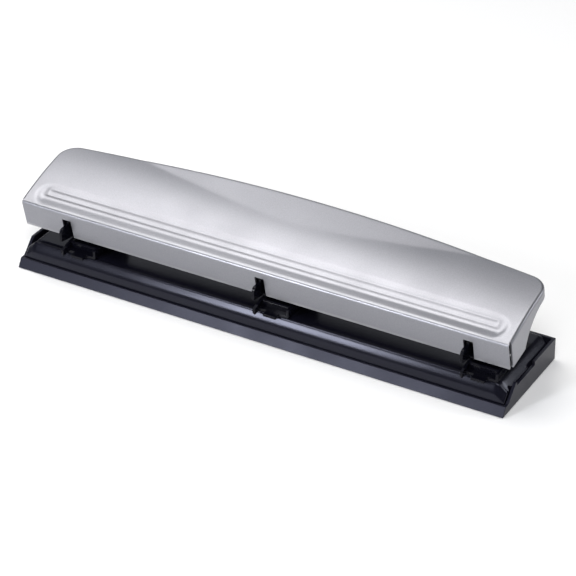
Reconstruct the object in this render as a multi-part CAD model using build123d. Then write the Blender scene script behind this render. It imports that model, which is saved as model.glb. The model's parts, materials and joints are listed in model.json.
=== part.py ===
from build123d import *
import math
import os

"""Three hole punch: a lever handle drives three spring returned punch pins through their dies.

Frame: +X along the row of holes, +Y towards the palm edge of the handle, +Z up.
The origin is the centre of the footprint, on the surface that the punch stands on.
Paper goes in from the -Y side, under the handle's hinge. All sizes are in millimetres.
"""

# ---------------------------------------------------------------- driving dimensions
HEAD_NAMES = ["left", "centre", "right"]
HOLE_PITCH = 107.95          # centre to centre of neighbouring holes, 4 1/4 in
HOLE_RADIUS = 3.55           # punched hole, 9/32 in across
HEAD_SHIFT = 9.15            # the middle head stands this far right of the base's centre
PIN_Y = -5.0                 # axis of the punch pins
EDGE_MARGIN = 11.0           # hole centre to the paper's edge

BASE_LENGTH = 263.7
BASE_DEPTH = 55.0
FOOT_HEIGHT = 0.5            # rubber feet stand out of the tray by this much
TRAY_FLOOR = 1.6
TRAY_WALL = 1.4
BAND_HEIGHT = 4.3            # low slanted band along the tray's front
BAND_LEAN = 2.7              # the band's top stands back by this much
BAND_TOP_WIDTH = 1.0
DECK_HEIGHT = 13.2           # top of the steel base pan
WALL_DROP = 1.3              # tops of the end and rear walls, below the deck
NOTCH_DEPTH = 1.8            # finger notch in the right end wall
NOTCH_LENGTH = 18.5
NOTCH_SETBACK = 1.5          # notch's front, behind the top of the ramp

PAN_SHEET = 1.0
PAN_GAP = 0.3                # between pan and tray, all round
PAN_FRONT_LEAN = 2.2         # front face stands back by this much at the top
PAN_BEND = 2.4               # outer bend radius along the front and rear
PAN_END_BEVEL = 5.0
PAN_BEVEL_DROP = 3.6
CHIP_FUNNEL = 2.4            # extra radius of the pan's chip holes

HEAD_WIDTH = 17.1            # outside the bracket's two walls
HEAD_SHEET = 1.4
HEAD_REAR = 8.5              # bracket's rear edge
HEAD_RISE = 3.7              # bracket's top, above the pivot
NOSE_REACH = 25.3            # left wall's nose, forward of the origin
NOSE_DROP = 0.7              # nose's top, below the pivot
NOSE_LIFT = 1.4              # nose's lower lip, above the slot's roof
NOSE_RADIUS = 2.3
ARM_DROP = 1.8               # left wall's lower lip, below the slot's floor
ARM_SETBACK = 0.5
REAR_SLOPE = (3.0, 6.0)      # corner cut off the walls' rear tops
RIGHT_WALL_REACH = 20.6      # right wall's lower front edge, forward of the origin
RIGHT_WALL_EASE = 0.4
FLANGE_REACH = 5.6           # riveted flange behind the bracket
TONGUE_SHARE = 0.4           # width of the web's front tongue, of the head's width
TONGUE_SETBACK = 1.2
WEB_BEND = 0.8               # outer bend of the web, of the sheet

DIE_THICKNESS = 3.4
DIE_EASE = 0.7
SLOT_HEIGHT = 2.0
PLATE_FRONT = 18.0           # die and guide plates start this far forward of the origin
GUIDE_SHEET = 1.4
TOP_GUIDE_SHEET = 1.5
DIE_CLEARANCE = 0.10
GUIDE_CLEARANCE = 0.05
CHIP_CLEARANCE = 1.2         # extra radius of the chip hole in the bracket's web
GUIDE_EASE = 0.5
TOP_GUIDE_REACH = 2.6        # top guide's length beyond the pin, front and rear
TOP_GUIDE_INSET = 0.1        # top guide, below the bracket's top

PIVOT_Y = -15.5
PIVOT_RISE = 8.5             # pivot, above the slot's roof
PIVOT_RADIUS = 1.75
PIVOT_CLEARANCE = 0.05
SIDE_CLEARANCE = 0.3         # between the bracket's walls and the lever's lugs
REST_ANGLE = 12.0            # handle's tilt at rest, from a level top
PRESS_ANGLE = 24.0           # full turn of the handle

HANDLE_INSET = 0.4           # handle's ends, in from the base's ends
HANDLE_SHEET = 1.0
HANDLE_FRONT = 5.35          # skirt's outer face, forward of the pivot
HANDLE_CORNER = 8.5          # front top corner, above the pivot
SKIRT_HEIGHT = 14.4
END_DEPTH = 42.8             # handle's depth at its ends
MID_BULGE = 8.5              # extra depth of the palm edge at mid length
ARCH_CHORD = 62.5
ARCH_RISE = 3.1
REST_SHIFT = 4.0             # middle of the palm rest, right of the handle's middle
REST_START = 32.0            # palm rest's front, behind the skirt's face
REST_RISE = 0.014            # palm rest climbs towards the rear by this slope
REST_RADIUS = 4660.0         # its crown, from side to side
REAR_FLANGE = 5.7
REAR_CORNER = 10.0
POCKET_DEPTH = 1.0
POCKET_FRONT = 2.2           # pocket's front edge, behind the skirt's face
POCKET_WIDTH = 12.2
POCKET_END = 5.5             # from the pocket's end to the handle's end
SKIRT_SLOT_WIDTH = 4.9
FLANGE_FLAT = 3.6            # straight part of the side flange, behind the pivot's front
FLANGE_SWEEP = (0.31, 0.80)  # middle of the flange's swept edge, of its length and height
REAR_DROOP = 1.0             # rear flange's lower edge falls this much per bulge doubled
SKIRT_SLOT_HEIGHT = 10.4
SLOT_SIDE_GAP = 0.4          # left wall's face to the slot's edge

LEVER_SHEET = 1.6
LEVER_REAR = 15.5            # lever bracket's rear edge, behind the pivot
LUG_RADIUS = 4.0
LUG_LEAN = 0.4
LEVER_SIDE_DEPTH = 2.0       # depth of the lever's side walls below its web
PIVOT_HEAD = (1.1, 1.0)      # pivot pin's head: extra radius and thickness
RING_RIM = 1.4
RING_SHEET = 0.8
PIVOT_END = 1.2              # pin's end, beyond the lever's lug

PIN_GAP = 0.4                # pin's dome to the lever bracket at rest
PIN_RETRACT = 0.6            # pin's tip above the slot's roof at rest
PIN_DOME = 5.0               # radius of the pin's top
PIN_VEE = 1.2                # side of the square notch across the pin's tip
CLIP_SHEET = 0.8
CLIP_GROOVE = 0.55
CLIP_RIM = 2.1               # clip's reach beyond the pin
CLIP_GAP = 0.2               # clip to the top guide, its upper stop
CLIP_MOUTH = 1.5             # clip's opening, of the groove's radius
SPRING_WIRE = 0.8
SPRING_TURNS = 3.6
SPRING_GAP = 0.45            # pin to the spring's inside

RIVET_RADIUS = 1.5
RIVET_SPREAD = 4.1           # rivets stand this far either side of the head's centre
RIVET_HEAD = 2.6
RIVET_HEAD_HEIGHT = 1.0
RIVET_EASE = 0.6
FOOT_RADIUS = 5.0
FOOT_RECESS = 0.5
FOOT_INSET_X = 16.0          # foot's centre, in from the base's end
FOOT_INSET_Y = 11.0

# ---------------------------------------------------------------- derived places
TRAY_BOTTOM = FOOT_HEIGHT
FLOOR_TOP = TRAY_BOTTOM + TRAY_FLOOR
HALF_LENGTH = BASE_LENGTH / 2
HALF_DEPTH = BASE_DEPTH / 2
WEB_TOP = DECK_HEIGHT + HEAD_SHEET
SLOT_FLOOR = WEB_TOP + DIE_THICKNESS
SLOT_ROOF = SLOT_FLOOR + SLOT_HEIGHT
GUIDE_TOP = SLOT_ROOF + GUIDE_SHEET
PIVOT_Z = SLOT_ROOF + PIVOT_RISE
HEAD_TOP = PIVOT_Z + HEAD_RISE
NOSE_TOP = PIVOT_Z - NOSE_DROP
TOP_GUIDE_TOP = HEAD_TOP - TOP_GUIDE_INSET
TOP_GUIDE_BOTTOM = TOP_GUIDE_TOP - TOP_GUIDE_SHEET
CLIP_TOP = TOP_GUIDE_BOTTOM - CLIP_GAP
SLOT_END = PIN_Y + EDGE_MARGIN
INNER_WIDTH = HEAD_WIDTH - 2 * HEAD_SHEET
ARCH_RADIUS = (ARCH_CHORD**2 / 4 + ARCH_RISE**2) / (2 * ARCH_RISE)
ARCH_U = ARCH_CHORD / 2 - HANDLE_FRONT
ARCH_W = HANDLE_CORNER + ARCH_RISE - ARCH_RADIUS
HANDLE_LENGTH = BASE_LENGTH - 2 * HANDLE_INSET
HALF_HANDLE = HANDLE_LENGTH / 2
SKIRT_LOW = HANDLE_CORNER - SKIRT_HEIGHT
END_U = END_DEPTH - HANDLE_FRONT
LEVER_ROOF = HANDLE_SHEET + POCKET_DEPTH
LEVER_RADIUS = ARCH_RADIUS - LEVER_ROOF - LEVER_SHEET


def head_x(index):
    """Centre of head 0, 1 or 2 along the punch."""
    return (index - 1) * HOLE_PITCH + HEAD_SHIFT


def prism_x(face, x_low, x_high):
    """Extrude a face drawn in the YZ plane from x_low to x_high."""
    return Pos(x_low, 0, 0) * extrude(face, amount=x_high - x_low, dir=(1, 0, 0))


def outline(points):
    """Filled polygon in the YZ plane, from (y, z) points, facing +X."""
    turns = [a[0] * b[1] - b[0] * a[1] for a, b in zip(points, points[1:] + points[:1])]
    if sum(turns) < 0:
        points = points[::-1]
    return make_face(Polyline([(0, y, z) for y, z in points], close=True))


def common(first, second):
    """Area that two faces share."""
    return Sketch() + (first & second)


def block(x_range, y_range, z_range):
    """Box between the given limits."""
    size = [high - low for low, high in (x_range, y_range, z_range)]
    middle = [(low + high) / 2 for low, high in (x_range, y_range, z_range)]
    return Pos(*middle) * Box(*size)


def rod_x(radius, x_low, x_high, y, z):
    """Cylinder along X."""
    return Pos((x_low + x_high) / 2, y, z) * Rot(0, 90, 0) * Cylinder(radius, x_high - x_low)


def rod_z(radius, x, y, z_low, z_high):
    """Cylinder along Z."""
    return Pos(x, y, (z_low + z_high) / 2) * Cylinder(radius, z_high - z_low)


def to_rest(shape):
    """Move a shape from the handle's frame, with the pivot at its origin, to its rest place."""
    return Pos(0, PIVOT_Y, PIVOT_Z) * Rot(REST_ANGLE, 0, 0) * shape


def lever_height(tilt):
    """Height of the lever bracket's underside above the pin axis, at a handle tilt in degrees."""
    turn = math.radians(tilt)
    centre_y = ARCH_U * math.cos(turn) - ARCH_W * math.sin(turn)
    centre_z = ARCH_U * math.sin(turn) + ARCH_W * math.cos(turn)
    reach = PIN_Y - PIVOT_Y - centre_y
    return PIVOT_Z + centre_z + math.sqrt(LEVER_RADIUS**2 - reach**2)


PIN_TOP = lever_height(REST_ANGLE) - PIN_GAP
PIN_STROKE = lever_height(REST_ANGLE) - lever_height(REST_ANGLE - PRESS_ANGLE)


# ---------------------------------------------------------------- base
def foot_places():
    """Centres of the four feet."""
    reach_x = HALF_LENGTH - FOOT_INSET_X
    reach_y = HALF_DEPTH - FOOT_INSET_Y
    return [(sx * reach_x, sy * reach_y) for sx in (-1, 1) for sy in (-1, 1)]


def chip_tray():
    """Moulded tray that the pan sits in, with a slanted front band and taller end and rear walls."""
    top = DECK_HEIGHT - WALL_DROP
    band_top = TRAY_BOTTOM + BAND_HEIGHT
    band_y = BAND_LEAN - HALF_DEPTH
    ramp_y = band_y + BAND_LEAN
    ramp = top - band_top
    profile = [
        (-HALF_DEPTH, TRAY_BOTTOM),
        (band_y, band_top),
        (ramp_y, band_top),
        (ramp_y + ramp, top),
        (HALF_DEPTH, top),
        (HALF_DEPTH, TRAY_BOTTOM),
    ]
    tray = prism_x(outline(profile), -HALF_LENGTH, HALF_LENGTH)
    inner_x = HALF_LENGTH - TRAY_WALL
    inner_front = band_y + BAND_TOP_WIDTH
    tray -= block((-inner_x, inner_x), (inner_front, HALF_DEPTH - TRAY_WALL), (FLOOR_TOP, top + 5))
    tray -= block((-inner_x, inner_x), (-HALF_DEPTH, inner_front), (band_top, top + 5))
    notch_y = ramp_y + ramp + NOTCH_SETBACK
    tray -= block(
        (inner_x - 1, HALF_LENGTH + 1),
        (notch_y, notch_y + NOTCH_LENGTH),
        (top - NOTCH_DEPTH, top + 5),
    )
    for x, y in foot_places():
        tray -= rod_z(FOOT_RADIUS, x, y, TRAY_BOTTOM - 1, TRAY_BOTTOM + FOOT_RECESS)
    return tray


def rubber_feet():
    """Four pads let into the tray's underside."""
    return [rod_z(FOOT_RADIUS, x, y, 0, TRAY_BOTTOM + FOOT_RECESS) for x, y in foot_places()]


def pan_block(inset, bottom):
    """Outer form of the pan, moved inwards by inset: leaning front, bent edges, bevelled ends."""
    front = BAND_LEAN + BAND_TOP_WIDTH + PAN_GAP - HALF_DEPTH + inset
    rear = HALF_DEPTH - TRAY_WALL - PAN_GAP - inset
    top = DECK_HEIGHT - inset
    knee = TRAY_BOTTOM + BAND_HEIGHT
    bend = PAN_BEND - inset
    end = HALF_LENGTH - TRAY_WALL - PAN_GAP - inset
    profile = outline([
        (front, bottom),
        (front, knee),
        (front + PAN_FRONT_LEAN, top),
        (rear, top),
        (rear, bottom),
    ])
    rounded = fillet([v for v in profile.vertices() if v.Z > top - 0.01], bend)
    body = prism_x(rounded, -end, end)
    for side in (-1, 1):
        wedge = Plane.XZ * make_face(Polyline([
            (side * end, top - PAN_BEVEL_DROP),
            (side * (end - PAN_END_BEVEL), top),
            (side * (end - PAN_END_BEVEL), top + 5),
            (side * (end + 5), top + 5),
            (side * (end + 5), top - PAN_BEVEL_DROP),
        ], close=True))
        body -= Pos(0, HALF_DEPTH, 0) * extrude(wedge, amount=BASE_DEPTH, dir=(0, -1, 0))
    return body


def rivet_places(index):
    """Centres of the two rivets that hold one head."""
    y = HEAD_REAR + FLANGE_REACH / 2
    return [(head_x(index) + side * RIVET_SPREAD, y) for side in (-1, 1)]


def base_pan():
    """Pressed steel pan, open below, with a chip hole and rivet holes for each head."""
    pan = pan_block(0, FLOOR_TOP) - pan_block(PAN_SHEET, FLOOR_TOP - 1)
    for index in range(3):
        pan -= rod_z(HOLE_RADIUS + CHIP_FUNNEL, head_x(index), PIN_Y, FLOOR_TOP + 5, DECK_HEIGHT + 1)
        for x, y in rivet_places(index):
            pan -= rod_z(RIVET_RADIUS, x, y, FLOOR_TOP + 5, DECK_HEIGHT + 1)
    return pan


# ---------------------------------------------------------------- punch heads
def pivot_lobe():
    """Round top of a wall around the pivot hole."""
    return Pos(0, PIVOT_Y, PIVOT_Z) * (Plane.YZ * Circle(HEAD_RISE))


def wall_rear():
    """Rear part of a wall's outline, from above the pivot down to the deck."""
    back, down = REAR_SLOPE
    return [
        (PIVOT_Y, HEAD_TOP),
        (HEAD_REAR - back, HEAD_TOP),
        (HEAD_REAR, HEAD_TOP - down),
        (HEAD_REAR, DECK_HEIGHT),
    ]


def nosed_wall():
    """Left wall: the paper slot runs out between a long lower arm and a rounded nose."""
    throat_y = -PLATE_FRONT
    shoulder_y = PIVOT_Y - HEAD_RISE
    arm_y = ARM_SETBACK - NOSE_REACH
    face = outline([
        (arm_y, DECK_HEIGHT),
        (arm_y, SLOT_FLOOR - ARM_DROP),
        (throat_y, SLOT_FLOOR),
        (SLOT_END, SLOT_FLOOR),
        (SLOT_END, SLOT_ROOF),
        (throat_y, SLOT_ROOF),
        (-NOSE_REACH, SLOT_ROOF + NOSE_LIFT),
        (-NOSE_REACH, NOSE_TOP),
        (shoulder_y, NOSE_TOP),
        (shoulder_y, PIVOT_Z),
    ] + wall_rear())
    corner = [v for v in face.vertices() if v.Y < -NOSE_REACH + 0.01 and v.Z > NOSE_TOP - 0.01]
    return fillet(corner, NOSE_RADIUS) + pivot_lobe()


def plain_wall():
    """Right wall: shorter, with its upper part set back behind the slot."""
    upper_y = PIVOT_Y - HEAD_RISE / 2
    face = outline([
        (-RIGHT_WALL_REACH, DECK_HEIGHT),
        (-RIGHT_WALL_REACH, SLOT_FLOOR - RIGHT_WALL_EASE),
        (RIGHT_WALL_EASE - RIGHT_WALL_REACH, SLOT_FLOOR),
        (SLOT_END, SLOT_FLOOR),
        (SLOT_END, SLOT_ROOF),
        (upper_y, SLOT_ROOF),
        (upper_y, PIVOT_Z),
    ] + wall_rear())
    return face + pivot_lobe()


def head_bracket(index):
    """Pressed U bracket: a web on the deck, two slotted walls and a riveted rear flange."""
    middle = head_x(index)
    low, high = middle - HEAD_WIDTH / 2, middle + HEAD_WIDTH / 2
    bracket = prism_x(nosed_wall(), low, low + HEAD_SHEET)
    bracket += prism_x(plain_wall(), high - HEAD_SHEET, high)
    bracket += block((low, high), (-RIGHT_WALL_REACH, HEAD_REAR + FLANGE_REACH), (DECK_HEIGHT, WEB_TOP))
    tongue = HEAD_WIDTH * TONGUE_SHARE / 2
    bracket += block(
        (middle - tongue, middle + tongue),
        (TONGUE_SETBACK - NOSE_REACH, HEAD_SHEET - RIGHT_WALL_REACH),
        (DECK_HEIGHT, WEB_TOP),
    )
    lower_corners = bracket.edges().filter_by(Axis.Y).filter_by(
        lambda e: abs(e.center().Z - DECK_HEIGHT) < 0.01
        and abs(abs(e.center().X - middle) - HEAD_WIDTH / 2) < 0.01
        and e.length > 20
    )
    bracket = fillet(lower_corners, HEAD_SHEET * WEB_BEND)
    bracket -= rod_z(HOLE_RADIUS + CHIP_CLEARANCE, middle, PIN_Y, DECK_HEIGHT - 1, WEB_TOP + 1)
    for x, y in rivet_places(index):
        bracket -= rod_z(RIVET_RADIUS, x, y, DECK_HEIGHT - 1, WEB_TOP + 1)
    bracket -= rod_x(PIVOT_RADIUS + PIVOT_CLEARANCE, low - 1, high + 1, PIVOT_Y, PIVOT_Z)
    return bracket


def plate(index, y_range, z_range, hole_radius):
    """Flat plate between the bracket's walls, with one hole for the pin."""
    middle = head_x(index)
    half = INNER_WIDTH / 2
    body = block((middle - half, middle + half), y_range, z_range)
    return body - rod_z(hole_radius, middle, PIN_Y, z_range[0] - 1, z_range[1] + 1)


def die_plate(index):
    """Hardened die that the paper lies on, with an eased front edge."""
    body = plate(index, (-PLATE_FRONT, HEAD_REAR), (WEB_TOP, SLOT_FLOOR), HOLE_RADIUS + DIE_CLEARANCE)
    edge = body.edges().filter_by(Axis.X).sort_by(lambda e: e.center().Z - e.center().Y)[-1]
    return chamfer(edge, DIE_EASE)


def guide_plate(index):
    """Lower guide of the pin and roof of the paper slot, with an eased front edge."""
    body = plate(index, (-PLATE_FRONT, HEAD_REAR), (SLOT_ROOF, GUIDE_TOP), HOLE_RADIUS + GUIDE_CLEARANCE)
    edge = body.edges().filter_by(Axis.X).sort_by(lambda e: -e.center().Z - e.center().Y)[-1]
    return chamfer(edge, GUIDE_EASE)


def top_guide(index):
    """Upper guide of the pin, bridging the walls near their tops."""
    reach = HOLE_RADIUS + TOP_GUIDE_REACH
    return plate(
        index,
        (PIN_Y - reach, PIN_Y + reach),
        (TOP_GUIDE_BOTTOM, TOP_GUIDE_TOP),
        HOLE_RADIUS + GUIDE_CLEARANCE,
    )


def head_rivets(index):
    """Two rivets through the bracket's flange and the pan."""
    rivets = []
    for x, y in rivet_places(index):
        below = DECK_HEIGHT - PAN_SHEET
        rivet = rod_z(RIVET_RADIUS, x, y, below, WEB_TOP)
        rivet += rod_z(RIVET_HEAD, x, y, WEB_TOP, WEB_TOP + RIVET_HEAD_HEIGHT)
        rivet += rod_z(RIVET_HEAD, x, y, below - RIVET_HEAD_HEIGHT, below)
        top_edge = rivet.edges().filter_by(GeomType.CIRCLE).sort_by(Axis.Z)[-1]
        rivets.append(fillet(top_edge, RIVET_EASE))
    return rivets


def punch_pin(index):
    """Pin with a domed top, a hollow-ground tip and a groove for its clip."""
    tip = SLOT_ROOF + PIN_RETRACT
    pin = rod_z(HOLE_RADIUS, head_x(index), PIN_Y, tip, PIN_TOP)
    pin &= Pos(head_x(index), PIN_Y, PIN_TOP - PIN_DOME) * Sphere(PIN_DOME) + rod_z(
        HOLE_RADIUS + 1, head_x(index), PIN_Y, tip - 1, PIN_TOP - PIN_DOME
    )
    vee = Pos(0, PIN_Y, tip) * Rot(45, 0, 0) * Box(4 * HOLE_RADIUS, PIN_VEE, PIN_VEE)
    pin -= Pos(head_x(index), 0, 0) * vee
    groove = rod_z(HOLE_RADIUS + 1, head_x(index), PIN_Y, CLIP_TOP - CLIP_SHEET, CLIP_TOP)
    groove -= rod_z(HOLE_RADIUS - CLIP_GROOVE, head_x(index), PIN_Y, CLIP_TOP - CLIP_SHEET, CLIP_TOP)
    return pin - groove


def spring_clip(index):
    """Snap ring in the pin's groove that the spring pushes up."""
    ring = rod_z(HOLE_RADIUS + CLIP_RIM, head_x(index), PIN_Y, CLIP_TOP - CLIP_SHEET, CLIP_TOP)
    bore = HOLE_RADIUS - CLIP_GROOVE
    ring -= rod_z(bore, head_x(index), PIN_Y, CLIP_TOP - CLIP_SHEET - 1, CLIP_TOP + 1)
    mouth = bore * CLIP_MOUTH
    ring -= block(
        (head_x(index) - mouth / 2, head_x(index) + mouth / 2),
        (PIN_Y, PIN_Y + 3 * bore),
        (CLIP_TOP - CLIP_SHEET - 1, CLIP_TOP + 1),
    )
    return ring


def return_spring(index):
    """Coil spring around the pin, from the lower guide to the clip."""
    radius = HOLE_RADIUS + SPRING_GAP + SPRING_WIRE / 2
    low = GUIDE_TOP + SPRING_WIRE / 2
    high = CLIP_TOP - CLIP_SHEET - SPRING_WIRE / 2
    height = high - low
    path = Helix(height / SPRING_TURNS, height, radius)
    section = Plane(origin=path @ 0, z_dir=path % 0) * Circle(SPRING_WIRE / 2)
    coil = sweep(section, path=path, is_frenet=True)
    return Pos(head_x(index), PIN_Y, low) * coil


# ---------------------------------------------------------------- handle
def disc(radius):
    """Disc under the handle's arched top, in the handle's YZ plane."""
    return Pos(0, ARCH_U, ARCH_W) * (Plane.YZ * Circle(radius))


def arch_height(u):
    """Height of the arched top above the pivot, at a distance u behind it."""
    return ARCH_W + math.sqrt(ARCH_RADIUS**2 - (u - ARCH_U) ** 2)


def palm_rest(inset):
    """Flatter area at the rear of the top, crowned from side to side, on the arch."""
    start_u = REST_START - HANDLE_FRONT
    length = END_DEPTH + MID_BULGE - REST_START + 2
    width = 2 * math.sqrt(2 * REST_RADIUS * ARCH_RISE)
    slab = Pos(REST_SHIFT, start_u + length / 2, arch_height(start_u)) * Box(width, length, 2 * ARCH_RISE)
    tilt = math.atan(REST_RISE)
    axis_w = arch_height(start_u) - REST_RADIUS / math.cos(tilt)
    crown = Rot(90, 0, 0) * Cylinder(REST_RADIUS - inset, 4 * END_DEPTH)
    return slab & (Pos(REST_SHIFT, start_u, axis_w) * Rot(math.degrees(tilt), 0, 0) * crown)


def handle_form(inset, flange_open):
    """Solid form of the handle, moved inwards by inset, in the handle's frame."""
    front = inset - HANDLE_FRONT
    rear = END_DEPTH + MID_BULGE - HANDLE_FRONT - inset
    bottom = SKIRT_LOW - (SKIRT_HEIGHT if flange_open else 0)
    side = outline([(front, bottom), (front, 30), (rear + 1, 30), (rear + 1, bottom)])
    side = common(side, disc(ARCH_RADIUS - inset))
    end = HALF_HANDLE - inset
    body = prism_x(side, -end, end) + palm_rest(inset)
    bulge_radius = (HALF_HANDLE**2 + MID_BULGE**2) / (2 * MID_BULGE)
    plan = Pos(0, END_U + MID_BULGE - bulge_radius, 0) * Circle(bulge_radius - inset)
    plan = common(plan, Pos(0, HANDLE_LENGTH / 2 + front, 0) * Rectangle(2 * end, HANDLE_LENGTH))
    rear_corners = plan.vertices().sort_by(Axis.Y)[-2:]
    plan = fillet(rear_corners, REAR_CORNER - inset)
    return body & extrude(Pos(0, 0, -40) * plan, amount=80)


def flange_trim():
    """Space under the side and rear flanges, swept up towards the palm edge."""
    rear_w = arch_height(END_U) - REAR_FLANGE
    start_u = HANDLE_FRONT + FLANGE_FLAT
    middle = (
        start_u + FLANGE_SWEEP[0] * (END_U - start_u),
        SKIRT_LOW + FLANGE_SWEEP[1] * (rear_w - SKIRT_LOW),
    )
    lower = ThreePointArc((0, start_u, SKIRT_LOW), (0, *middle), (0, END_U, rear_w))
    rest = Polyline(
        (0, END_U, rear_w),
        (0, END_U + 2 * MID_BULGE, rear_w - REAR_DROOP),
        (0, END_U + 2 * MID_BULGE, SKIRT_LOW - SKIRT_HEIGHT),
        (0, start_u, SKIRT_LOW - SKIRT_HEIGHT),
        (0, start_u, SKIRT_LOW),
    )
    face = make_face(lower.edges() + rest.edges())
    return prism_x(face, -HALF_HANDLE - 1, HALF_HANDLE + 1)


def pocket(offset):
    """Long shallow pocket along the front of the top, grown by offset all round."""
    half_width = POCKET_WIDTH / 2 + offset
    length = HANDLE_LENGTH - 2 * POCKET_END + 2 * offset
    centre_u = POCKET_FRONT + POCKET_WIDTH / 2 - HANDLE_FRONT
    plan = Pos(0, centre_u, 0) * SlotOverall(length, 2 * half_width)
    form = extrude(Pos(0, 0, -20) * plan, amount=60)
    floor = prism_x(disc(ARCH_RADIUS - POCKET_DEPTH - offset), -HALF_HANDLE, HALF_HANDLE)
    return form - floor


def handle_cover():
    """Pressed steel handle: arched top with a pocket, front skirt, side and rear flanges."""
    cover = handle_form(0, False) - pocket(0)
    cavity = handle_form(HANDLE_SHEET, True) - pocket(HANDLE_SHEET)
    cover -= cavity
    cover -= flange_trim()
    for index in range(3):
        slot_x = head_x(index) - HEAD_WIDTH / 2 - SLOT_SIDE_GAP
        cover -= block(
            (slot_x, slot_x + SKIRT_SLOT_WIDTH),
            (-HANDLE_FRONT - 1, 1.5 * HANDLE_SHEET - HANDLE_FRONT),
            (SKIRT_LOW - 1, SKIRT_LOW + SKIRT_SLOT_HEIGHT),
        )
    return to_rest(cover)


def lug_faces(index):
    """X limits of the lever bracket's two lugs."""
    half = HEAD_WIDTH / 2 + SIDE_CLEARANCE
    return head_x(index) - half - LEVER_SHEET, head_x(index) + half + LEVER_SHEET


def lever_bracket(index):
    """Bracket under the handle: its web pushes the pin, its lugs carry the pivot pin."""
    low, high = lug_faces(index)
    side = outline([
        (-LUG_RADIUS, 0),
        (-LUG_RADIUS + LUG_LEAN, HANDLE_CORNER + 2 * ARCH_RISE),
        (LEVER_REAR, HANDLE_CORNER + 2 * ARCH_RISE),
        (LEVER_REAR, HANDLE_CORNER - LEVER_ROOF - LEVER_SHEET - LEVER_SIDE_DEPTH),
        (LUG_RADIUS * 0.7, -LUG_RADIUS * 0.7),
    ])
    side = side + Plane.YZ * Circle(LUG_RADIUS)
    side = common(side, disc(ARCH_RADIUS - LEVER_ROOF))
    body = prism_x(side, low, high)
    inner = common(outline([(-30, -30), (-30, 30), (60, 30), (60, -30)]), disc(LEVER_RADIUS))
    body -= prism_x(inner, low + LEVER_SHEET, high - LEVER_SHEET)
    body -= rod_x(PIVOT_RADIUS, low - 1, high + 1, 0, 0)
    return to_rest(body)


def pivot_pin(index):
    """Headed pin, tight in the lever's lugs and free in the bracket's walls."""
    low, high = lug_faces(index)
    rim, thickness = PIVOT_HEAD
    pin = rod_x(PIVOT_RADIUS, low, high + PIVOT_END, 0, 0)
    pin += rod_x(PIVOT_RADIUS + rim, low - thickness, low, 0, 0)
    return to_rest(pin)


def pivot_ring(index):
    """Push-on ring that keeps the pivot pin in place."""
    high = lug_faces(index)[1]
    ring = rod_x(PIVOT_RADIUS + RING_RIM, high, high + RING_SHEET, 0, 0)
    ring -= rod_x(PIVOT_RADIUS, high - 1, high + 2, 0, 0)
    return to_rest(ring)


# ---------------------------------------------------------------- write the nodes
def save(name, shape):
    """Write one node, as one shape or as a group of separate solids."""
    if isinstance(shape, list):
        shape = Compound(children=shape)
    export_step(shape, "parts/" + name + ".step")


os.makedirs("parts", exist_ok=True)
save("chip_tray", chip_tray())
save("rubber_feet", rubber_feet())
save("base_pan", base_pan())
save("handle_cover", handle_cover())
HEAD_PIECES = [
    head_bracket,
    die_plate,
    guide_plate,
    top_guide,
    head_rivets,
    punch_pin,
    spring_clip,
    return_spring,
    lever_bracket,
    pivot_pin,
    pivot_ring,
]
for head, head_name in enumerate(HEAD_NAMES):
    for make_piece in HEAD_PIECES:
        save(make_piece.__name__ + "_" + head_name, make_piece(head))
print("pin stroke", round(PIN_STROKE, 3), "pin top", round(PIN_TOP, 3))
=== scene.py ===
import json
import math

import bmesh
import bpy
from mathutils import Matrix, Vector


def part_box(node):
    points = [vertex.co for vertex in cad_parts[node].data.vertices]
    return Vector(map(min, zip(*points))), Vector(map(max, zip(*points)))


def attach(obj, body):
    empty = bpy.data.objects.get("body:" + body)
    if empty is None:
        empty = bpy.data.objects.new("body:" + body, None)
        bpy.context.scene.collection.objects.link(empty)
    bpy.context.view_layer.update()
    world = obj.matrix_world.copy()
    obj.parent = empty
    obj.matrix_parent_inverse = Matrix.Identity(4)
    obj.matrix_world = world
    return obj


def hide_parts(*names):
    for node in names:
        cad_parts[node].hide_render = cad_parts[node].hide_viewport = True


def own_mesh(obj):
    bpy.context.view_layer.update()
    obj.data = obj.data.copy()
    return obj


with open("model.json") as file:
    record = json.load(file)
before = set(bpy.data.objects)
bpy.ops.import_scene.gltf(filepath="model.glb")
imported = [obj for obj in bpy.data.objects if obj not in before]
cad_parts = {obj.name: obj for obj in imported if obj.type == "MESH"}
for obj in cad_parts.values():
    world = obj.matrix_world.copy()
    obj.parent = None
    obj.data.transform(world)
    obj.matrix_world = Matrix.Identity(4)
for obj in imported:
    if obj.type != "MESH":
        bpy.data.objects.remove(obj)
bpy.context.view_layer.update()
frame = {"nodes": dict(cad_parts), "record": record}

MM = 0.001

# ---------------------------------------------------------------- sizes, in millimetres
# the frame's own places
HEADS = ("left", "centre", "right")
JOINTS = {joint["name"]: joint for joint in frame["record"]["behaviour"]["joints"]}
PIVOT_Y, PIVOT_Z = (value / MM for value in JOINTS["handle_press"]["pos_m"][1:])
HALF_HANDLE = (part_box("handle_cover")[1] / MM).x
PAN_LOW, PAN_HIGH = (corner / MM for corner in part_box("base_pan"))
BRACKET_LEFT = [(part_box("head_bracket_" + head)[0] / MM).x for head in HEADS]

# handle, in its own frame: u rearward and w up from the pivot, s = u + HANDLE_FRONT
REST_TILT = math.radians(12)
HANDLE_FRONT = 5.35
HANDLE_CORNER = 8.5          # height of the front top corner, before its bend
SKIRT_HEIGHT = 14.4
ARCH_CHORD = 62.5
ARCH_RISE = 3.1
ARCH_RADIUS = (ARCH_CHORD**2 / 4 + ARCH_RISE**2) / (2 * ARCH_RISE)
ARCH_U = ARCH_CHORD / 2 - HANDLE_FRONT
ARCH_W = HANDLE_CORNER + ARCH_RISE - ARCH_RADIUS

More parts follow.
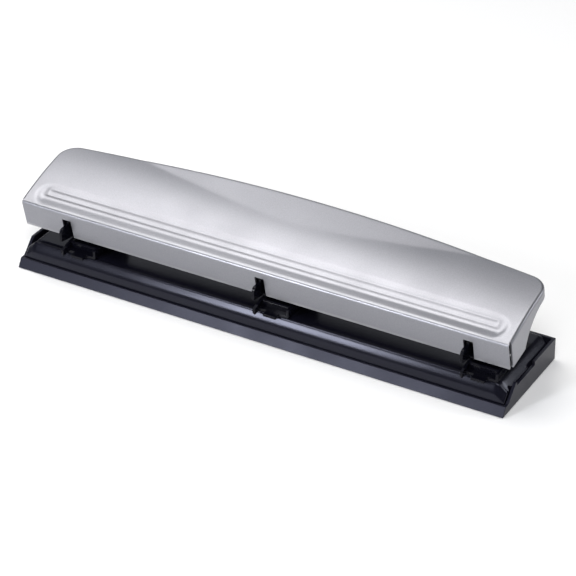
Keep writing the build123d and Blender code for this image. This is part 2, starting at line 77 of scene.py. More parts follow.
# outline of the palm edge: a long arc with a smaller one at each end
END_DEPTH = 42.8
MID_BULGE = 8.5
REAR_CORNER = 10.0
BULGE_RADIUS = (HALF_HANDLE**2 + MID_BULGE**2) / (2 * MID_BULGE)
BULGE_CENTRE = END_DEPTH + MID_BULGE - BULGE_RADIUS
CORNER_X = HALF_HANDLE - REAR_CORNER
CORNER_S = BULGE_CENTRE + math.sqrt((BULGE_RADIUS - REAR_CORNER) ** 2 - CORNER_X**2)

# sheet, bends, flanges and slots
SHEET = 0.95
BEND = 1.35                  # outer radius of every bend
BEND_STEPS = 6
FRONT_SLOPE_AT = 0.9         # the arch's slope here sets where the front bend starts
SLOPE_STEP = 0.2
LIP_EASE = 0.16
REAR_FLANGE = 5.7
FLANGE_FLAT = 3.6            # level part of the side flange's lower edge, behind the pivot line
FLANGE_SWEEP = (0.31, 0.80)  # a point on the swept edge, as shares of its length and height
RELIEF = 1.9                 # slit between the skirt and the side flanges
EAR_INSET = 0.9
SKIRT_SLOT_WIDTH = 4.9
SKIRT_SLOT_HEIGHT = 10.4
SLOT_SIDE_GAP = 0.4

# palm rest, flatter than the arch
PALM_SHIFT = 4.0
PALM_START = 32.0
PALM_RISE = 0.014
PALM_RADIUS = 4660.0
PALM_SOFT = 0.035
PALM_BLEND = 8.0

# pocket; its line is the depth from front to rear: slanted front wall, then a rising floor
POCKET_FRONT = 0.9
POCKET_REAR = 15.4
POCKET_END = 4.4
POCKET_DEPTH = 1.0
POCKET_WALL = 4.4
POCKET_SOFT = 0.4
POCKET_LINE = (
    (POCKET_FRONT, 0.0), (1.8, 0.05), (2.5, 0.18), (5.8, 0.95), (6.4, POCKET_DEPTH),
    (6.9, 0.99), (14.9, 0.06), (POCKET_REAR, 0.0),
)
RIB_CENTRES = (8.5, 11.9)
RIB_WIDTHS = (1.25, 1.5)
RIB_HEIGHTS = (0.16, 0.17)
RIB_TIP = 122.2

# spacing of the handle's mesh
COLUMN_STEP = 1.35
FINE_FROM = 108.0
FINE_STEP = 0.7
CORNER_STEPS = 12
ROW_STEP = 0.42
NEAR_END = 17.0
FAR_ROWS = 44
FLANGE_ROWS = 8
SKIRT_ROWS = (3, 7)          # above and below the top of the slots

# base pan
PAN_SHEET = 0.9
PAN_KNEE = 5.2               # top of the upright foot of the front face
PAN_KNEE_EASE = 1.2
PAN_FACE_LEAN = 2.55
PAN_FACE_BOW = 0.55
PAN_FACE_STEPS = 10
PAN_CREST = 1.1              # radius of the rolled front edge
PAN_CREST_TUCK = 0.94
PAN_CREST_LIFT = 0.25
PAN_GROOVE = (               # behind the crest, below the deck
    (0.35, 0.0), (0.6, 0.2025), (0.9, 0.45), (1.4, 0.315), (2.0, 0.09), (2.6, 0.02),
)
PAN_DECK_INSET = 3.2
PAN_DECK_STEPS = 14
PAN_REAR_BEND = 2.4
PAN_REAR_DROP = 6.0
PAN_STATION_STEP = 5.0

# bevelled ends of the pan
BEVEL_DEPTH = 5.0
BEVEL_DROP = 3.6
BEVEL_BEND = 4.0
BEVEL_SETBACK = 1.2
BEVEL_TURN = 36
BEVEL_BEND_STEPS = 8
BEVEL_STEPS = 4
BEVEL_FOOT = 0.75
END_CORNER = ((0.18, 0.45), (0.0, 1.2))  # in from the end, below the bevel
END_TUCK = 0.6
TUCK_FROM = 3.0

# return springs
SPRING_TURNS = 4.0
SPRING_EASE = 0.35           # share of the rise that slows down towards the ends
WIRE_RADIUS = 0.4
WIRE_SIDES = 12
TURN_STEPS = 36

# eased CAD pieces
EASE_ANGLE = 28.0
FLAT_ANGLE = 0.4
WELD = 1e-6                  # metres


def smooth(t):
    """Smooth step from 0 to 1."""
    t = min(max(t, 0.0), 1.0)
    return t * t * (3 - 2 * t)


def spaced(low, high, step):
    """Evenly spaced values, both ends included."""
    count = max(1, round((high - low) / step))
    return [low + (high - low) * i / count for i in range(count + 1)]


# ---------------------------------------------------------------- materials
def node(tree, kind, **inputs):
    """Add one shader node and set its inputs by name."""
    made = tree.nodes.new(kind)
    for name, value in inputs.items():
        made.inputs[name.replace("_", " ")].default_value = value
    return made


def ramp(tree, *stops):
    """Colour ramp from two (position, colour) pairs; a number stands for a grey."""
    made = tree.nodes.new("ShaderNodeValToRGB")
    for element, (position, colour) in zip(made.color_ramp.elements, stops):
        element.position = position
        grey = isinstance(colour, (int, float))
        element.color = (colour, colour, colour, 1) if grey else (*colour, 1)
    return made


def finish_material(
    name,
    low,
    high,
    worn,
    rough,
    grain,
    bump,
    metallic=0.0,
    coat=0.0,
    coat_rough=0.1,
    specular=0.5,
    tint=(1.0, 1.0, 1.0),
    brushed=None,
    wear_from=0.56,
):
    """Procedural finish: two-tone fine grain, broad mottling, worn edges, rough map and bump."""
    material = bpy.data.materials.new(name)
    material.use_nodes = True
    tree = material.node_tree
    tree.nodes.clear()
    link = tree.links.new
    out = node(tree, "ShaderNodeOutputMaterial")
    shader = node(
        tree, "ShaderNodeBsdfPrincipled", Metallic=metallic, Coat_Weight=coat,
        Coat_Roughness=coat_rough, Specular_IOR_Level=specular, Specular_Tint=(*tint, 1),
    )
    link(shader.outputs["BSDF"], out.inputs["Surface"])

    # fine grain and broad mottling, fixed to the piece
    where = node(tree, "ShaderNodeTexCoord").outputs["Object"]
    fine = node(tree, "ShaderNodeTexNoise", Scale=grain, Detail=4.0, Roughness=0.6)
    if brushed:
        mapping = node(tree, "ShaderNodeMapping", Scale=brushed)
        link(where, mapping.inputs["Vector"])
        link(mapping.outputs["Vector"], fine.inputs["Vector"])
    else:
        link(where, fine.inputs["Vector"])
    broad = node(tree, "ShaderNodeTexNoise", Scale=38.0, Detail=3.0, Roughness=0.55)
    link(where, broad.inputs["Vector"])
    tone = ramp(tree, (0.3, low), (0.7, high))
    link(fine.outputs["Fac"], tone.inputs["Fac"])

    # wear on the edges, in patches
    edge = ramp(tree, (wear_from, 0.0), (wear_from + 0.1, 1.0))
    link(node(tree, "ShaderNodeNewGeometry").outputs["Pointiness"], edge.inputs["Fac"])
    patch = ramp(tree, (0.42, 0.15), (0.66, 1.0))
    link(broad.outputs["Fac"], patch.inputs["Fac"])
    worn_mask = node(tree, "ShaderNodeMath")
    worn_mask.operation = "MULTIPLY"
    link(edge.outputs["Color"], worn_mask.inputs[0])
    link(patch.outputs["Color"], worn_mask.inputs[1])
    mix = node(tree, "ShaderNodeMix")
    mix.data_type = "RGBA"
    link(worn_mask.outputs[0], mix.inputs["Factor"])
    link(tone.outputs["Color"], mix.inputs["A"])
    mix.inputs["B"].default_value = (*worn, 1)
    link(mix.outputs["Result"], shader.inputs["Base Color"])

    # roughness follows the mottling, the bump follows the grain
    rough_map = node(
        tree, "ShaderNodeMapRange", From_Min=0.3, From_Max=0.7, To_Min=rough[0], To_Max=rough[1]
    )
    link(broad.outputs["Fac"], rough_map.inputs["Value"])
    link(rough_map.outputs["Result"], shader.inputs["Roughness"])
    relief = node(tree, "ShaderNodeBump", Strength=bump[0], Distance=bump[1] * MM)
    link(fine.outputs["Fac"], relief.inputs["Height"])
    link(relief.outputs["Normal"], shader.inputs["Normal"])
    return material


BLUISH = (0.80, 0.82, 1.0)
FINISH = {
    "silver_paint": finish_material(
        "silver_paint", (0.248, 0.250, 0.274), (0.306, 0.308, 0.334), (0.40, 0.40, 0.42),
        rough=(0.33, 0.41), grain=2600.0, bump=(0.12, 0.05), metallic=0.92, coat=0.12,
        coat_rough=0.22, wear_from=0.60,
    ),
    "black_enamel": finish_material(
        "black_enamel", (0.003, 0.003, 0.006), (0.006, 0.006, 0.011), (0.03, 0.03, 0.035),
        rough=(0.15, 0.21), grain=1500.0, bump=(0.05, 0.04), specular=0.30, tint=BLUISH,
    ),
    "tray_plastic": finish_material(
        "tray_plastic", (0.005, 0.005, 0.010), (0.009, 0.009, 0.017), (0.035, 0.035, 0.04),
        rough=(0.30, 0.38), grain=2200.0, bump=(0.14, 0.05), specular=0.24, tint=BLUISH,
    ),
    "foot_rubber": finish_material(
        "foot_rubber", (0.018, 0.018, 0.018), (0.035, 0.034, 0.033), (0.05, 0.05, 0.05),
        rough=(0.70, 0.88), grain=1800.0, bump=(0.35, 0.1),
    ),
    "black_steel": finish_material(
        "black_steel", (0.002, 0.002, 0.004), (0.005, 0.005, 0.009), (0.025, 0.025, 0.030),
        rough=(0.14, 0.22), grain=1600.0, bump=(0.08, 0.05), specular=0.13, wear_from=0.62,
    ),
    "zinc_steel": finish_material(
        "zinc_steel", (0.40, 0.41, 0.42), (0.55, 0.56, 0.58), (0.66, 0.66, 0.67),
        rough=(0.26, 0.42), grain=900.0, bump=(0.10, 0.05), metallic=1.0,
    ),
    "bright_steel": finish_material(
        "bright_steel", (0.55, 0.55, 0.56), (0.68, 0.68, 0.69), (0.8, 0.8, 0.8),
        rough=(0.16, 0.26), grain=500.0, bump=(0.06, 0.04), metallic=1.0,
        brushed=(0.3, 4.0, 4.0),
    ),
    "pin_steel": finish_material(
        "pin_steel", (0.50, 0.50, 0.51), (0.64, 0.64, 0.65), (0.78, 0.78, 0.78),
        rough=(0.14, 0.24), grain=500.0, bump=(0.08, 0.04), metallic=1.0,
        brushed=(1.0, 1.0, 8.0),
    ),
    "spring_steel": finish_material(
        "spring_steel", (0.48, 0.48, 0.50), (0.62, 0.62, 0.64), (0.75, 0.75, 0.76),
        rough=(0.18, 0.30), grain=1400.0, bump=(0.08, 0.04), metallic=1.0,
    ),
}
# painted shade: a dark coat on the handle's inner faces stands in for the shade under the handle
INNER_PAINTED_SHADE = finish_material(
    "inner_painted_shade", (0.012, 0.012, 0.014), (0.022, 0.022, 0.025), (0.05, 0.05, 0.05),
    rough=(0.45, 0.60), grain=1300.0, bump=(0.15, 0.05),
)


# ---------------------------------------------------------------- mesh helpers
def body_of(node_name):
    """Body that a CAD node rides on."""
    bodies = frame["record"]["behaviour"]["bodies"]
    return next(name for name, nodes in bodies.items() if node_name in nodes)


def place_piece(name, mesh, slot, body, angle):
    """Link a mesh as a piece with a slot's finish and smooth shading up to an angle."""
    mesh.materials.clear()
    mesh.materials.append(FINISH[slot])
    mesh.shade_smooth()
    mesh.set_sharp_from_angle(angle=math.radians(angle))
    piece = bpy.data.objects.new(name, mesh)
    bpy.context.scene.collection.objects.link(piece)
    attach(piece, body)
    return piece


def add_piece(name, bm, slot, body, angle):
    """Turn a bmesh, in millimetres, into a piece."""
    bmesh.ops.transform(bm, matrix=Matrix.Scale(MM, 4), verts=bm.verts)
    mesh = bpy.data.meshes.new(name)
    bm.to_mesh(mesh)
    bm.free()
    return place_piece(name, mesh, slot, body, angle)


def modifier(piece, kind, **settings):
    """Add a modifier with its settings."""
    made = piece.modifiers.new(kind.title(), kind)
    for name, value in settings.items():
        setattr(made, name, value)


def apply_all(piece):
    """Bake a piece's modifiers into its mesh."""
    graph = bpy.context.evaluated_depsgraph_get()
    mesh = bpy.data.meshes.new_from_object(piece.evaluated_get(graph))
    piece.modifiers.clear()
    piece.data = mesh


def join_rows(bm, rows):
    """Faces between each row of vertices and the next."""
    for a, b in zip(rows, rows[1:]):
        for i in range(len(a) - 1):
            bm.faces.new((a[i], b[i], b[i + 1], a[i + 1]))


def face_outwards(bm):
    """Make the faces agree, with the topmost one facing up."""
    bmesh.ops.recalc_face_normals(bm, faces=bm.faces)
    top = max(bm.faces, key=lambda f: f.calc_center_median().z)
    if top.normal.z < 0:
        bmesh.ops.reverse_faces(bm, faces=bm.faces)


def refine(node_name, slot, width, segments=2):
    """Copy a CAD node as a piece with eased edges, and let it stand for the node."""
    bm = bmesh.new()
    bm.from_mesh(frame["nodes"][node_name].data)
    bmesh.ops.remove_doubles(bm, verts=bm.verts, dist=WELD)
    bmesh.ops.dissolve_limit(
        bm, angle_limit=math.radians(FLAT_ANGLE), verts=bm.verts, edges=bm.edges,
        delimit={"NORMAL"},
    )
    mesh = bpy.data.meshes.new(node_name + "_eased")
    bm.to_mesh(mesh)
    bm.free()
    piece = place_piece(node_name + "_eased", mesh, slot, body_of(node_name), 40.0)
    modifier(
        piece, "BEVEL", width=width * MM, segments=segments, limit_method="ANGLE",
        angle_limit=math.radians(EASE_ANGLE), use_clamp_overlap=True, harden_normals=True,
    )
    apply_all(piece)
    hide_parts(node_name)


# ---------------------------------------------------------------- handle
def arch_height(s):
    """Height w of the arched top, at a distance s behind the skirt's face."""
    return ARCH_W + math.sqrt(ARCH_RADIUS**2 - (s - HANDLE_FRONT - ARCH_U) ** 2)


def on_bulge(x, inset):
    """True where the palm edge, moved inwards by inset, is its long arc."""
    return abs(x) <= CORNER_X * (BULGE_RADIUS - inset) / (BULGE_RADIUS - REAR_CORNER)


def rear_edge(x, inset):
    """Distance s of the palm edge, moved inwards by inset."""
    if on_bulge(x, inset):
        return BULGE_CENTRE + math.sqrt((BULGE_RADIUS - inset) ** 2 - x * x)
    reach = (REAR_CORNER - inset) ** 2 - (abs(x) - CORNER_X) ** 2
    return CORNER_S + math.sqrt(max(reach, 0))


def crease_height(x, s):
    """Top of the handle: the arch, or the flatter palm rest where that is higher."""
    arch = arch_height(s)
    if s < PALM_START - PALM_BLEND:
        return arch
    crown = (x - PALM_SHIFT) ** 2 / (2 * PALM_RADIUS)
    gap = arch_height(PALM_START) + PALM_RISE * (s - PALM_START) - crown - arch
    soft = (gap + math.sqrt(gap * gap + PALM_SOFT * PALM_SOFT)) / 2
    return arch + soft * smooth((s - PALM_START + PALM_BLEND) / PALM_BLEND)


def pocket_line(s):
    """Depth of the pocket across its width, away from its ends."""
    for (s_a, depth_a), (s_b, depth_b) in zip(POCKET_LINE, POCKET_LINE[1:]):
        if s_a <= s <= s_b:
            return depth_a + (depth_b - depth_a) * (s - s_a) / (s_b - s_a)
    return 0.0


def mound(reach, width, height):
    """Height of a rounded rib, at a distance from its middle line."""
    return height * math.cos(math.pi / 2 * reach / width) ** 2 if reach < width else 0.0


def pocket_depth(x, s):
    """Depth of the long shallow pocket, with two low ribs joined by a bar at each end."""
    half = (POCKET_REAR - POCKET_FRONT) / 2
    middle = POCKET_FRONT + half
    core = HALF_HANDLE - POCKET_END - half
    near, far = pocket_line(s - POCKET_SOFT), pocket_line(s + POCKET_SOFT)
    depth = (near + 2 * pocket_line(s) + far) / 4
    if abs(x) > core:
        radial = math.hypot(abs(x) - core, s - middle)
        depth = min(depth, POCKET_DEPTH * smooth((half - radial) / POCKET_WALL))
    beside = max(RIB_CENTRES[0] - s, s - RIB_CENTRES[1], 0)
    bar = math.hypot(abs(x) - (RIB_TIP - RIB_WIDTHS[0]), beside)
    rises = [mound(bar, RIB_WIDTHS[0], RIB_HEIGHTS[0])]
    for centre, width, height in zip(RIB_CENTRES, RIB_WIDTHS, RIB_HEIGHTS):
        reach = math.hypot(max(abs(x) - (RIB_TIP - width), 0), s - centre)
        rises.append(mound(reach, width, height))
    return depth - max(rises)


def top_height(x, s):
    """Height w of the finished top."""
    return crease_height(x, s) - pocket_depth(x, s)


def flange_low(u):
    """Lower edge of the side and rear flanges, on the arc that sweeps up to the palm edge."""
    low = HANDLE_CORNER - SKIRT_HEIGHT
    start_u = HANDLE_FRONT + FLANGE_FLAT
    end_u = END_DEPTH - HANDLE_FRONT
    rear_w = arch_height(END_DEPTH) - REAR_FLANGE
    if u <= start_u:
        return low
    if u >= end_u:
        return rear_w - (u - end_u) / (2 * MID_BULGE)
    share_u, share_w = FLANGE_SWEEP
    a = Vector((start_u, low))
    b = Vector((start_u + share_u * (end_u - start_u), low + share_w * (rear_w - low)))
    c = Vector((end_u, rear_w))
    d = 2 * (a.x * (b.y - c.y) + b.x * (c.y - a.y) + c.x * (a.y - b.y))
    aa, bb, cc = a.length_squared, b.length_squared, c.length_squared
    centre_u = (aa * (b.y - c.y) + bb * (c.y - a.y) + cc * (a.y - b.y)) / d
    centre_w = (aa * (c.x - b.x) + bb * (a.x - c.x) + cc * (b.x - a.x)) / d
    radius = math.hypot(a.x - centre_u, a.y - centre_w)
    side = 1 if b.y > centre_w else -1
    return centre_w + side * math.sqrt(max(radius**2 - (u - centre_u) ** 2, 0))


def handle_point(x, s, w):
    """Place of a point of the handle, from its own frame to the rest pose."""
    u = s - HANDLE_FRONT
    turn_c, turn_s = math.cos(REST_TILT), math.sin(REST_TILT)
    return Vector((x, PIVOT_Y + u * turn_c - w * turn_s, PIVOT_Z + u * turn_s + w * turn_c))


def skirt_slots():
    """X limits of the skirt's slots, one at each head."""
    lows = [left - SLOT_SIDE_GAP for left in BRACKET_LEFT]
    return [(low, low + SKIRT_SLOT_WIDTH) for low in lows]


def handle_columns():
    """X of the mesh columns: finer at the ends, with one at each side of a slot."""
    columns = spaced(0, FINE_FROM, COLUMN_STEP) + spaced(FINE_FROM, CORNER_X, FINE_STEP)[1:]
    for step in range(1, CORNER_STEPS + 1):
        turn = math.pi / 2 * step / CORNER_STEPS
        columns.append(CORNER_X + (REAR_CORNER - BEND) * math.sin(turn))
    every = sorted([-x for x in columns[1:]] + columns)
    for slot in skirt_slots():
        for side in slot:
            nearest = min(range(len(every)), key=lambda i: abs(every[i] - side))
            every[nearest] = side
    return sorted(every)


def skirt_levels(front_s):
    """Heights w of the skirt's rows, with one at the top of the slots."""
    above, below = SKIRT_ROWS
    top = arch_height(front_s) - BEND
    low = HANDLE_CORNER - SKIRT_HEIGHT
    slot_top = low + SKIRT_SLOT_HEIGHT
    levels = [top + (slot_top - top) * i / above for i in range(1, above + 1)]
    return levels + [slot_top + (low - slot_top) * i / below for i in range(1, below + 1)]


def flange_levels(s, w):
    """Heights w of the side and rear flanges' rows, below the end of their bend."""
    low = flange_low(s - HANDLE_FRONT)
    return [w + (low - w) * i / FLANGE_ROWS for i in range(1, FLANGE_ROWS + 1)]


def turn_down(bm, edge, lips, levels_of, cut=None):
    """Turn a border down: a bend, then a flange through the heights that levels_of gives.

    A lip is the place of a border vertex and its outward direction, as (x, s, nx, ns).
    """
    starts = []
    for x, s, nx, ns in lips:
        w = top_height(x, s)
        slope = (top_height(x - nx * SLOPE_STEP, s - ns * SLOPE_STEP) - w) / SLOPE_STEP
        starts.append((x, s, w, nx, ns, math.atan(max(slope, 0))))
    rings = [edge]
    for step in range(1, BEND_STEPS + 1):
        ring = []
        for x, s, w, nx, ns, start in starts:
            turn = start + (math.pi / 2 - start) * step / BEND_STEPS
            out = BEND * (math.sin(turn) - math.sin(start))
            down = BEND * (math.cos(start) - math.cos(turn))
            ring.append(bm.verts.new(handle_point(x + nx * out, s + ns * out, w - down)))
        rings.append(ring)
    flange = []
    for x, s, w, nx, ns, start in starts:
        out = BEND * (1 - math.sin(start))
        flange.append((x + nx * out, s + ns * out, w - BEND * math.cos(start)))
    for levels in zip(*(levels_of(s, w) for x, s, w in flange)):
        rings.append([
            bm.verts.new(handle_point(x, s, level)) for (x, s, w), level in zip(flange, levels)
        ])
    for row, (upper, lower) in enumerate(zip(rings, rings[1:]), -BEND_STEPS):
        for i in range(len(upper) - 1):
            if not (cut and cut(row, (flange[i][0] + flange[i + 1][0]) / 2)):
                bm.faces.new((upper[i + 1], upper[i], lower[i], lower[i + 1]))


def side_and_rear_lips(columns, rows_of, start_row):
    """Lips of the left side, the palm edge and the right side, as one border."""
    left, right = columns[0], columns[-1]
    lips = [(left, s, -1, 0) for s in rows_of(left)[start_row:]]
    for x in columns[1:-1]:
        s = rear_edge(x, BEND)
        if on_bulge(x, BEND):
            nx, ns = x, s - BULGE_CENTRE
        else:
            nx, ns = math.copysign(abs(x) - CORNER_X, x), s - CORNER_S
        length = math.hypot(nx, ns)
        lips.append((x, s, nx / length, ns / length))
    return lips + [(right, s, 1, 0) for s in rows_of(right)[start_row:]][::-1]


def build_handle():
    """Pressed handle: arched top with pocket and palm rest, skirt with slots, swept flanges."""
    columns = handle_columns()
    front_s = BEND * (1 - (ARCH_U + HANDLE_FRONT - FRONT_SLOPE_AT) / ARCH_RADIUS)
    near = spaced(front_s, NEAR_END, ROW_STEP)

    def rows_of(x):
        """All the s of one column: even near the front, then fitted to the palm edge."""
        span = rear_edge(x, BEND) - near[-1]
        return near + [near[-1] + span * i / FAR_ROWS for i in range(1, FAR_ROWS + 1)]

    bm = bmesh.new()
    grid = [
        [bm.verts.new(handle_point(x, s, top_height(x, s))) for s in rows_of(x)]
        for x in columns
    ]
    join_rows(bm, grid)

    # short ears carry the front corner out past the slits
    start_row = min(i for i, s in enumerate(near) if s >= RELIEF)
    ear_x = HALF_HANDLE - EAR_INSET
    ear_rows = [(s, top_height(columns[-1], s)) for s in near[:start_row]]
    left_ear = [bm.verts.new(handle_point(-ear_x, s, w)) for s, w in ear_rows]
    right_ear = [bm.verts.new(handle_point(ear_x, s, w)) for s, w in ear_rows]
    join_rows(bm, [left_ear, grid[0][:start_row]])
    join_rows(bm, [grid[-1][:start_row], right_ear])

    def in_slot(row, x):
        """True for the skirt's faces that a slot cuts away."""
        return row >= SKIRT_ROWS[0] and any(low < x < high for low, high in skirt_slots())

    skirt = skirt_levels(front_s)
    turn_down(
        bm,
        [column[0] for column in [left_ear] + grid + [right_ear]],
        [(x, front_s, 0, -1) for x in [-ear_x] + columns + [ear_x]],
        lambda s, w: skirt,
        cut=in_slot,
    )
    turn_down(
        bm,
        grid[0][start_row:] + [column[-1] for column in grid[1:-1]] + grid[-1][start_row:][::-1],
        side_and_rear_lips(columns, rows_of, start_row),
        flange_levels,
    )
    face_outwards(bm)
    piece = add_piece("handle_shell", bm, "silver_paint", "handle", 35.0)
    # the inner faces get the painted shade coat through the solidify's material offset
    piece.data.materials.append(INNER_PAINTED_SHADE)
    modifier(
        piece, "SOLIDIFY", thickness=SHEET * MM, offset=-1.0, use_even_offset=False,
        material_offset=1,
    )
    modifier(
        piece, "BEVEL", width=LIP_EASE * MM, segments=2, limit_method="ANGLE",
        angle_limit=math.radians(60), harden_normals=True,
    )
    apply_all(piece)
    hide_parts("handle_cover")


# ---------------------------------------------------------------- base pan
def arc(centre, radius, start, end, count):
    """Points on an arc, angles in degrees from the first axis towards the second."""
    turns = [math.radians(start + (end - start) * i / count) for i in range(count + 1)]
    return [(centre[0] + radius * math.cos(t), centre[1] + radius * math.sin(t)) for t in turns]


def pan_section():
    """Cross section of the pan, front bottom to rear bottom, as (y, z)."""
    front, rear, top, low = PAN_LOW.y, PAN_HIGH.y, PAN_HIGH.z, PAN_LOW.z
    shoulder = top - PAN_CREST
    points = [(front, low), (front, PAN_KNEE - PAN_KNEE_EASE)]
    for step in range(PAN_FACE_STEPS + 1):
        share = step / PAN_FACE_STEPS
        points.append((
            front + PAN_FACE_LEAN * share - PAN_FACE_BOW * math.sin(math.pi * share),
            PAN_KNEE + (shoulder + PAN_CREST_LIFT - PAN_KNEE) * share,
        ))
    crest_y = points[-1][0] + PAN_CREST * PAN_CREST_TUCK
    points += arc((crest_y, shoulder), PAN_CREST, 150, 92, 7)
    crest = points[-1][0]
    points += [(crest + behind, top - depth) for behind, depth in PAN_GROOVE]
    deck = crest + PAN_DECK_INSET
    span = rear - PAN_DECK_INSET - deck
    points += [(deck + span * i / PAN_DECK_STEPS, top) for i in range(PAN_DECK_STEPS + 1)]
    points += arc((rear - PAN_REAR_BEND, top - PAN_REAR_BEND), PAN_REAR_BEND, 88, 0, 8)
    return points + [(rear, top - PAN_REAR_DROP), (rear, low)]


def pan_ends():
    """Stations along X as (x, height factor): bevelled ends with soft bends."""
    low, top, half = PAN_LOW.z, PAN_HIGH.z, PAN_HIGH.x
    bend_at = (half - BEVEL_DEPTH - BEVEL_SETBACK, top - BEVEL_BEND)
    path = arc(bend_at, BEVEL_BEND, 90, 90 - BEVEL_TURN, BEVEL_BEND_STEPS)
    slope_x, slope_z = path[-1]
    foot_x, foot_z = half - BEVEL_FOOT, top - BEVEL_DROP
    for step in range(1, BEVEL_STEPS + 1):
        share = step / BEVEL_STEPS
        path.append((slope_x + (foot_x - slope_x) * share, slope_z + (foot_z - slope_z) * share))
    path += [(half - inset, foot_z - drop) for inset, drop in END_CORNER]
    path += [(half, (foot_z + low) / 2), (half, low)]
    return [(x, (z - low) / (top - low)) for x, z in path]


def build_pan():
    """Pressed pan: rolled front edge, groove behind it, flat deck and bevelled ends."""
    section = pan_section()
    ends = pan_ends()
    middle = spaced(-ends[0][0], ends[0][0], PAN_STATION_STEP)[1:-1]
    stations = [(-x, f) for x, f in reversed(ends)] + [(x, 1.0) for x in middle] + ends
    low = PAN_LOW.z
    mid_y = (PAN_LOW.y + PAN_HIGH.y) / 2
    bm = bmesh.new()
    rings = []
    for x, factor in stations:
        ring = []
        for y, z in section:
            tuck = (1 - factor) * END_TUCK if z > low + TUCK_FROM else 0
            inwards = 1 if y < mid_y else -1
            ring.append(bm.verts.new((x, y + tuck * inwards, low + (z - low) * factor)))
        rings.append(ring)
    join_rows(bm, rings)
    bmesh.ops.remove_doubles(bm, verts=bm.verts, dist=1e-4)
    bmesh.ops.dissolve_degenerate(bm, edges=bm.edges, dist=1e-4)
    face_outwards(bm)
    piece = add_piece("pan_shell", bm, "black_enamel", "base", 50.0)
    modifier(piece, "SOLIDIFY", thickness=PAN_SHEET * MM, offset=-1.0)
    apply_all(piece)
    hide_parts("base_pan")


# ---------------------------------------------------------------- return springs
def build_spring(head):
    """Coil, a little closer at its ends."""
    low, high = (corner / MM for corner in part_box("return_spring_" + head))
    length = high.z - low.z
    rise = length - 2 * WIRE_RADIUS
    radius = (high.x - low.x) / 2 - WIRE_RADIUS
    centre = Vector(((low.x + high.x) / 2, (low.y + high.y) / 2, 0))
    steps = int(SPRING_TURNS * TURN_STEPS)
    bm = bmesh.new()
    rings = []
    for i in range(steps + 1):
        t = i / steps
        turn = 2 * math.pi * SPRING_TURNS * t
        eased = smooth(t) * SPRING_EASE + t * (1 - SPRING_EASE)
        out = Vector((math.cos(turn), math.sin(turn), 0))
        middle = centre + out * radius + Vector((0, 0, low.z + WIRE_RADIUS + rise * eased))
        ring = []
        for k in range(WIRE_SIDES):
            a = 2 * math.pi * k / WIRE_SIDES
            side = out * math.cos(a) + Vector((0, 0, math.sin(a)))
            ring.append(bm.verts.new(middle + WIRE_RADIUS * side))
        rings.append(ring)
    for a, b in zip(rings, rings[1:]):
        for k in range(WIRE_SIDES):
            n = (k + 1) % WIRE_SIDES
            bm.faces.new((a[k], a[n], b[n], b[k]))
    bm.faces.new(rings[0][::-1])
    bm.faces.new(rings[-1])
    bmesh.ops.recalc_face_normals(bm, faces=bm.faces)
    piece = add_piece("coil_spring_" + head, bm, "spring_steel", "base", 50.0)
    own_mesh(piece)
    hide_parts("return_spring_" + head)


# ---------------------------------------------------------------- all the pieces
# kind of node, slot, width of its eased edges, segments of the easing
HEAD_PIECES = (
    ("head_bracket", "black_steel", 0.22, 2),
    ("die_plate", "black_steel", 0.15, 2),
    ("guide_plate", "black_steel", 0.15, 2),
    ("top_guide", "zinc_steel", 0.15, 2),
    ("head_rivets", "zinc_steel", 0.12, 2),
    ("lever_bracket", "black_steel", 0.2, 2),
    ("pivot_pin", "bright_steel", 0.25, 3),
    ("pivot_ring", "spring_steel", 0.15, 2),
    ("punch_pin", "pin_steel", 0.12, 2),
    ("spring_clip", "spring_steel", 0.12, 2),
)

build_handle()
build_pan()
refine("chip_tray", "tray_plastic", 0.4, segments=3)
refine("rubber_feet", "foot_rubber", 0.25)
for head in HEADS:
    for kind, slot, width, segments in HEAD_PIECES:
        refine(kind + "_" + head, slot, width, segments)
for head in HEADS:
    build_spring(head)


# ---------------------------------------------------------------- camera, lengths in metres
AIM = Vector((1.0, 7.66, 9.8)) * MM
AZIMUTH = math.radians(30.315)
ELEVATION = math.radians(32.14)
ROLL = math.radians(-0.583)
DISTANCE = 1180.9 * MM
FOCAL_MM = 154.69
SENSOR_MM = 36.0


def build_camera():
    """Camera at the photo's viewing angle, with its slight roll."""
    back = Vector((
        math.sin(AZIMUTH) * math.cos(ELEVATION),
        -math.cos(AZIMUTH) * math.cos(ELEVATION),
        math.sin(ELEVATION),
    ))
    level = Vector((math.cos(AZIMUTH), math.sin(AZIMUTH), 0))
    right = level * math.cos(ROLL) + back.cross(level) * math.sin(ROLL)
    turned = Matrix((right, back.cross(right), back)).transposed().to_4x4()
    lens = bpy.data.cameras.new("camera")
    lens.lens = FOCAL_MM
    lens.sensor_width = SENSOR_MM
    lens.clip_start = 0.01
    lens.dof.use_dof = False
    camera = bpy.data.objects.new("camera", lens)
    camera.matrix_world = Matrix.Translation(AIM + back * DISTANCE) @ turned
    bpy.context.scene.collection.objects.link(camera)
    bpy.context.scene.camera = camera


# ---------------------------------------------------------------- floor, world and lights
COOL = (0.93, 0.95, 1.0)
WORLD_STRENGTH = 0.14
FLOOR_HALF = 2.5
FLOOR_GREY = 0.93

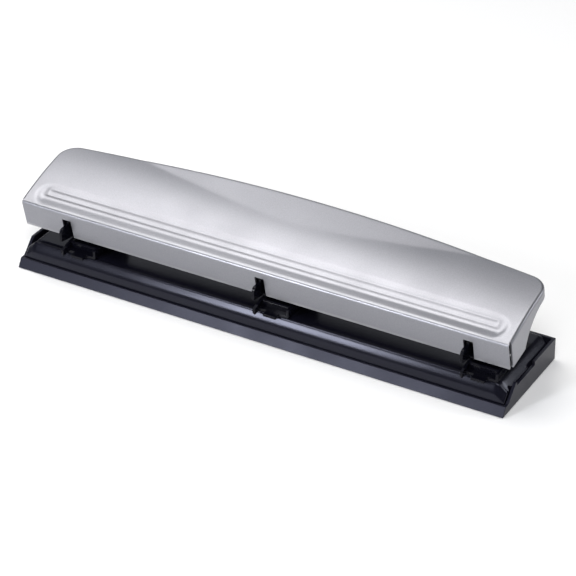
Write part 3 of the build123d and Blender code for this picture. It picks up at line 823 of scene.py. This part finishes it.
# name, place, aim, size, power in watts, colour; lengths in metres
LIGHTS = (
    ("overhead", (-0.38, 0.12, 0.95), (0, 0, 0), (0.62, 0.70), 5.7, (1.0, 0.985, 0.96)),
    ("key", (0.50, -0.85, 1.30), (0, 0, 0), (0.7, 0.7), 14.2, (1, 1, 1)),
    ("front_strip", (-0.42, -0.90, 0.44), (0.02, -0.03, 0.01), (0.15, 0.40), 5.6, COOL),
    ("side_card", (0.92, 0.72, 0.55), (0.10, 0, 0.03), (0.40, 0.30), 3.0, (0.95, 0.97, 1.0)),
    ("back_panel", (-0.55, 0.95, 0.85), (0, 0, 0), (1.2, 0.8), 1.5, (0.94, 0.97, 1.0)),
)


def build_floor():
    """Plain pale floor, subdivided, under and around the punch."""
    bm = bmesh.new()
    bmesh.ops.create_grid(bm, x_segments=8, y_segments=8, size=FLOOR_HALF)
    mesh = bpy.data.meshes.new("floor")
    bm.to_mesh(mesh)
    bm.free()
    material = bpy.data.materials.new("pale_floor")
    material.use_nodes = True
    shader = material.node_tree.nodes["Principled BSDF"]
    shader.inputs["Base Color"].default_value = (FLOOR_GREY, FLOOR_GREY, FLOOR_GREY, 1)
    shader.inputs["Roughness"].default_value = 0.8
    shader.inputs["Specular IOR Level"].default_value = 0.2
    mesh.materials.append(material)
    floor = bpy.data.objects.new("floor", mesh)
    bpy.context.scene.collection.objects.link(floor)


def build_world():
    """Faint even light from all round."""
    world = bpy.data.worlds.new("studio")
    world.use_nodes = True
    background = world.node_tree.nodes["Background"]
    background.inputs["Color"].default_value = (*COOL, 1)
    background.inputs["Strength"].default_value = WORLD_STRENGTH
    bpy.context.scene.world = world


def area_light(name, place, aim, size, power, colour):
    """Rectangular soft light, aimed at a point."""
    data = bpy.data.lights.new(name, "AREA")
    data.shape = "RECTANGLE"
    data.size, data.size_y = size
    data.energy = power
    data.color = colour
    lamp = bpy.data.objects.new(name, data)
    lamp.location = place
    lamp.rotation_euler = (Vector(aim) - Vector(place)).to_track_quat("-Z", "Y").to_euler()
    bpy.context.scene.collection.objects.link(lamp)


build_camera()
build_floor()
build_world()
for light in LIGHTS:
    area_light(*light)
bpy.context.scene.view_settings.view_transform = "Standard"
